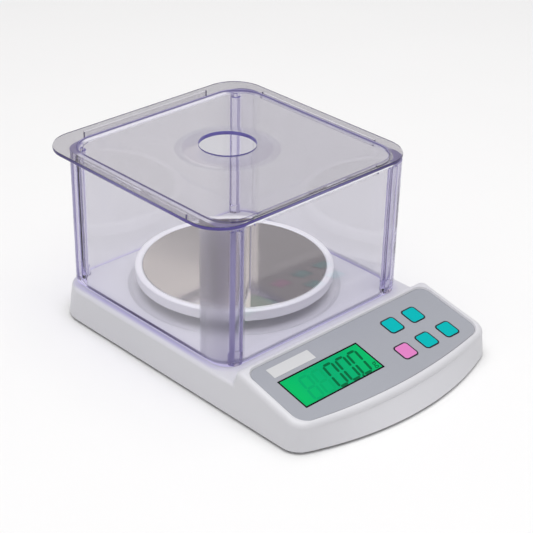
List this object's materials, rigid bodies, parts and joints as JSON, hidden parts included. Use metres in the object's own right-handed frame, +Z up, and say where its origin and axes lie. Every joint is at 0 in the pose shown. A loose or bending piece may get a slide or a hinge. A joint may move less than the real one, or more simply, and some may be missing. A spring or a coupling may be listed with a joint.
{
  "type": "electronic balance",
  "caption": "Compact electronic balance with a round pan, a clear square draught shield with a holed lid, and a sloping key console.",
  "frame": {"origin": "middle of the plan outline, on the surface the balance stands on", "axes": "+Z up, -Y out of the front with the console, +X to the user's right"},
  "size_m": [0.172, 0.2536, 0.1198],
  "materials": {
    "case": "satin",
    "lower_case": "matte",
    "overlay": "satin",
    "window": "gloss",
    "display": "gloss",
    "light_guide": "satin",
    "key_teal": "satin",
    "key_pink": "satin",
    "switch": "matte",
    "board": "satin",
    "chip": "matte",
    "screw_steel": "satin",
    "cell_aluminium": "machined",
    "carrier": "cast",
    "tray": "satin",
    "pan_steel": "polished",
    "clear_plastic": "clear",
    "rubber": "matte",
    "cell_jacket": "satin",
    "contact": "plated",
    "socket": "matte"
  },
  "bodies": {
    "base": {"upper_case": "case", "lower_case": "lower_case", "console_overlay": "overlay", "display_window": "window", "display_glass": "display", "display_backlight": "light_guide", "main_board": "board", "controller_chip": "chip", "board_screw_1": "screw_steel", "board_screw_2": "screw_steel", "board_screw_3": "screw_steel", "board_screw_4": "screw_steel", "switch_back_left": "switch", "switch_back_right": "switch", "switch_front_left": "switch", "switch_front_middle": "switch", "switch_front_right": "switch", "load_cell": "cell_aluminium", "cell_spacer": "cell_aluminium", "cell_screw_1": "screw_steel", "cell_screw_2": "screw_steel", "case_screw_1": "screw_steel", "case_screw_2": "screw_steel", "case_screw_3": "screw_steel", "case_screw_4": "screw_steel", "foot_1": "rubber", "foot_2": "rubber", "foot_3": "rubber", "foot_4": "rubber", "dry_cell_1": "cell_jacket", "dry_cell_2": "cell_jacket", "contact_spring_1": "contact", "contact_spring_2": "contact", "contact_plate_1": "contact", "contact_plate_2": "contact", "adapter_socket": "socket"},
    "carrier": {"pan_carrier": "carrier", "cell_screw_3": "screw_steel", "cell_screw_4": "screw_steel"},
    "pan": {"pan_tray": "tray", "pan_plate": "pan_steel"},
    "shield": {"shield_body": "clear_plastic"},
    "lid": {"shield_lid": "clear_plastic"},
    "battery_door": {"battery_door": "lower_case"},
    "key_back_left": {"key_back_left": "key_teal"},
    "key_back_right": {"key_back_right": "key_teal"},
    "key_front_left": {"key_front_left": "key_pink"},
    "key_front_middle": {"key_front_middle": "key_teal"},
    "key_front_right": {"key_front_right": "key_teal"}
  },
  "joints": [
    {"name": "cell_deflection", "type": "slide", "parent": "base", "child": "carrier", "axis": [0, 0, -1], "range_m": [0, 0.0002], "stiffness_N_per_m": 30000, "springref_m": -0.0001},
    {"name": "pan_lift", "type": "slide", "parent": "carrier", "child": "pan", "axis": [0, 0, 1], "range_m": [0, 0.05]},
    {"name": "shield_lift", "type": "slide", "parent": "base", "child": "shield", "axis": [0, 0, 1], "range_m": [0, 0.12]},
    {"name": "lid_lift", "type": "slide", "parent": "shield", "child": "lid", "axis": [0, 0, 1], "range_m": [0, 0.08]},
    {"name": "door_release", "type": "slide", "parent": "base", "child": "battery_door", "axis": [0, 0, -1], "range_m": [0, 0.02]},
    {"name": "key_back_left_press", "type": "slide", "parent": "base", "child": "key_back_left", "axis": [0, 0.2227, -0.9749], "range_m": [0, 0.0005], "stiffness_N_per_m": 3200, "springref_m": -0.0001},
    {"name": "key_back_right_press", "type": "slide", "parent": "base", "child": "key_back_right", "axis": [0, 0.2227, -0.9749], "range_m": [0, 0.0005], "stiffness_N_per_m": 3200, "springref_m": -0.0001},
    {"name": "key_front_left_press", "type": "slide", "parent": "base", "child": "key_front_left", "axis": [0, 0.2227, -0.9749], "range_m": [0, 0.0005], "stiffness_N_per_m": 3200, "springref_m": -0.0001},
    {"name": "key_front_middle_press", "type": "slide", "parent": "base", "child": "key_front_middle", "axis": [0, 0.2227, -0.9749], "range_m": [0, 0.0005], "stiffness_N_per_m": 3200, "springref_m": -0.0001},
    {"name": "key_front_right_press", "type": "slide", "parent": "base", "child": "key_front_right", "axis": [0, 0.2227, -0.9749], "range_m": [0, 0.0005], "stiffness_N_per_m": 3200, "springref_m": -0.0001}
  ]
}
